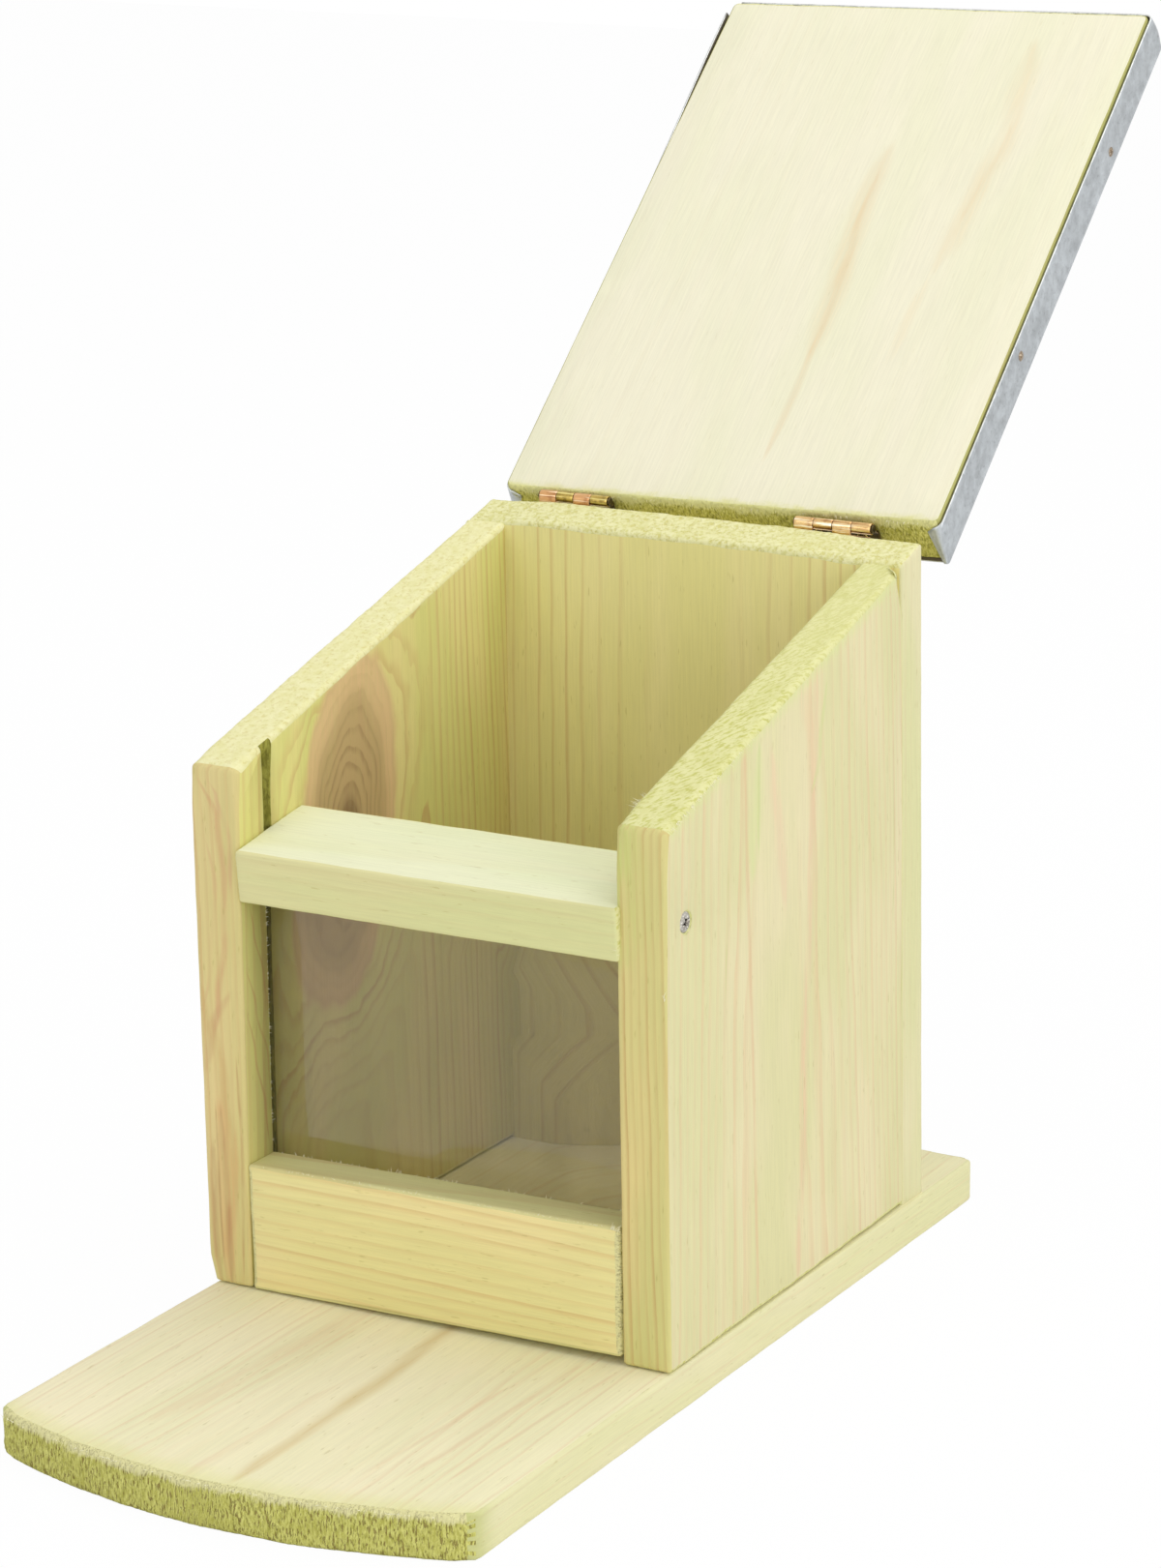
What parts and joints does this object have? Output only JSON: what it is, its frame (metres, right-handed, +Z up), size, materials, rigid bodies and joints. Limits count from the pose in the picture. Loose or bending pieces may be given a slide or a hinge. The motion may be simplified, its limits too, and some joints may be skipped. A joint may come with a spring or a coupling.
{
  "type": "squirrel feeder box",
  "caption": "Pine feeder box on a long base board, with a clear front window, an open-topped hopper and a sheet-covered sloping lid on butt hinges, shown thrown open.",
  "frame": {"origin": "middle of the base board's underside", "axes": "+Z up, -Y is the front with the window and landing, and +X lies to the right of a viewer who faces the front"},
  "size_m": [0.1382, 0.4124, 0.3233],
  "materials": {
    "pine": "sawn and planed pine, pale yellow-green from pressure treatment",
    "lid_pine": "planed pine, paler than the box",
    "clear_sheet": "clear acrylic sheet, polished",
    "galvanised_sheet": "dull galvanised sheet with a faint spangle",
    "brass_plate": "bright brassed steel, coppery on two of the four knuckles",
    "zinc_plate": "zinc-plated steel",
    "copper_nail": "dull coppery nail heads"
  },
  "bodies": {
    "box": {"base_board": "pine", "left_side": "pine", "right_side": "pine", "back_board": "pine", "front_board": "pine", "top_rail": "pine", "window_pane": "clear_sheet", "hinge_left_fixed_leaf": "brass_plate", "hinge_left_pin": "brass_plate", "hinge_left_back_screw_1": "brass_plate", "hinge_left_back_screw_2": "brass_plate", "rail_screw_left": "zinc_plate", "base_screw_left_side_front": "zinc_plate", "base_screw_left_side_rear": "zinc_plate", "base_screw_back_board_left": "zinc_plate", "base_screw_front_board_left": "zinc_plate", "back_screw_left_1": "zinc_plate", "back_screw_left_2": "zinc_plate", "hinge_right_fixed_leaf": "brass_plate", "hinge_right_pin": "brass_plate", "hinge_right_back_screw_1": "brass_plate", "hinge_right_back_screw_2": "brass_plate", "rail_screw_right": "zinc_plate", "base_screw_right_side_front": "zinc_plate", "base_screw_right_side_rear": "zinc_plate", "base_screw_back_board_right": "zinc_plate", "base_screw_front_board_right": "zinc_plate", "back_screw_right_1": "zinc_plate", "back_screw_right_2": "zinc_plate"},
    "lid": {"lid_board": "lid_pine", "lid_cover": "galvanised_sheet", "hinge_left_moving_leaf": "brass_plate", "hinge_left_lid_screw_1": "brass_plate", "hinge_left_lid_screw_2": "brass_plate", "cover_nail_left_1": "copper_nail", "cover_nail_left_2": "copper_nail", "hinge_right_moving_leaf": "brass_plate", "hinge_right_lid_screw_1": "brass_plate", "hinge_right_lid_screw_2": "brass_plate", "cover_nail_right_1": "copper_nail", "cover_nail_right_2": "copper_nail"}
  },
  "joints": [
    {"name": "lid_hinge", "type": "hinge", "parent": "box", "child": "lid", "pos_m": [0, 0.1169, 0.19796], "axis": [1, 0, 0], "range_deg": [0, 154.4]}
  ]
}
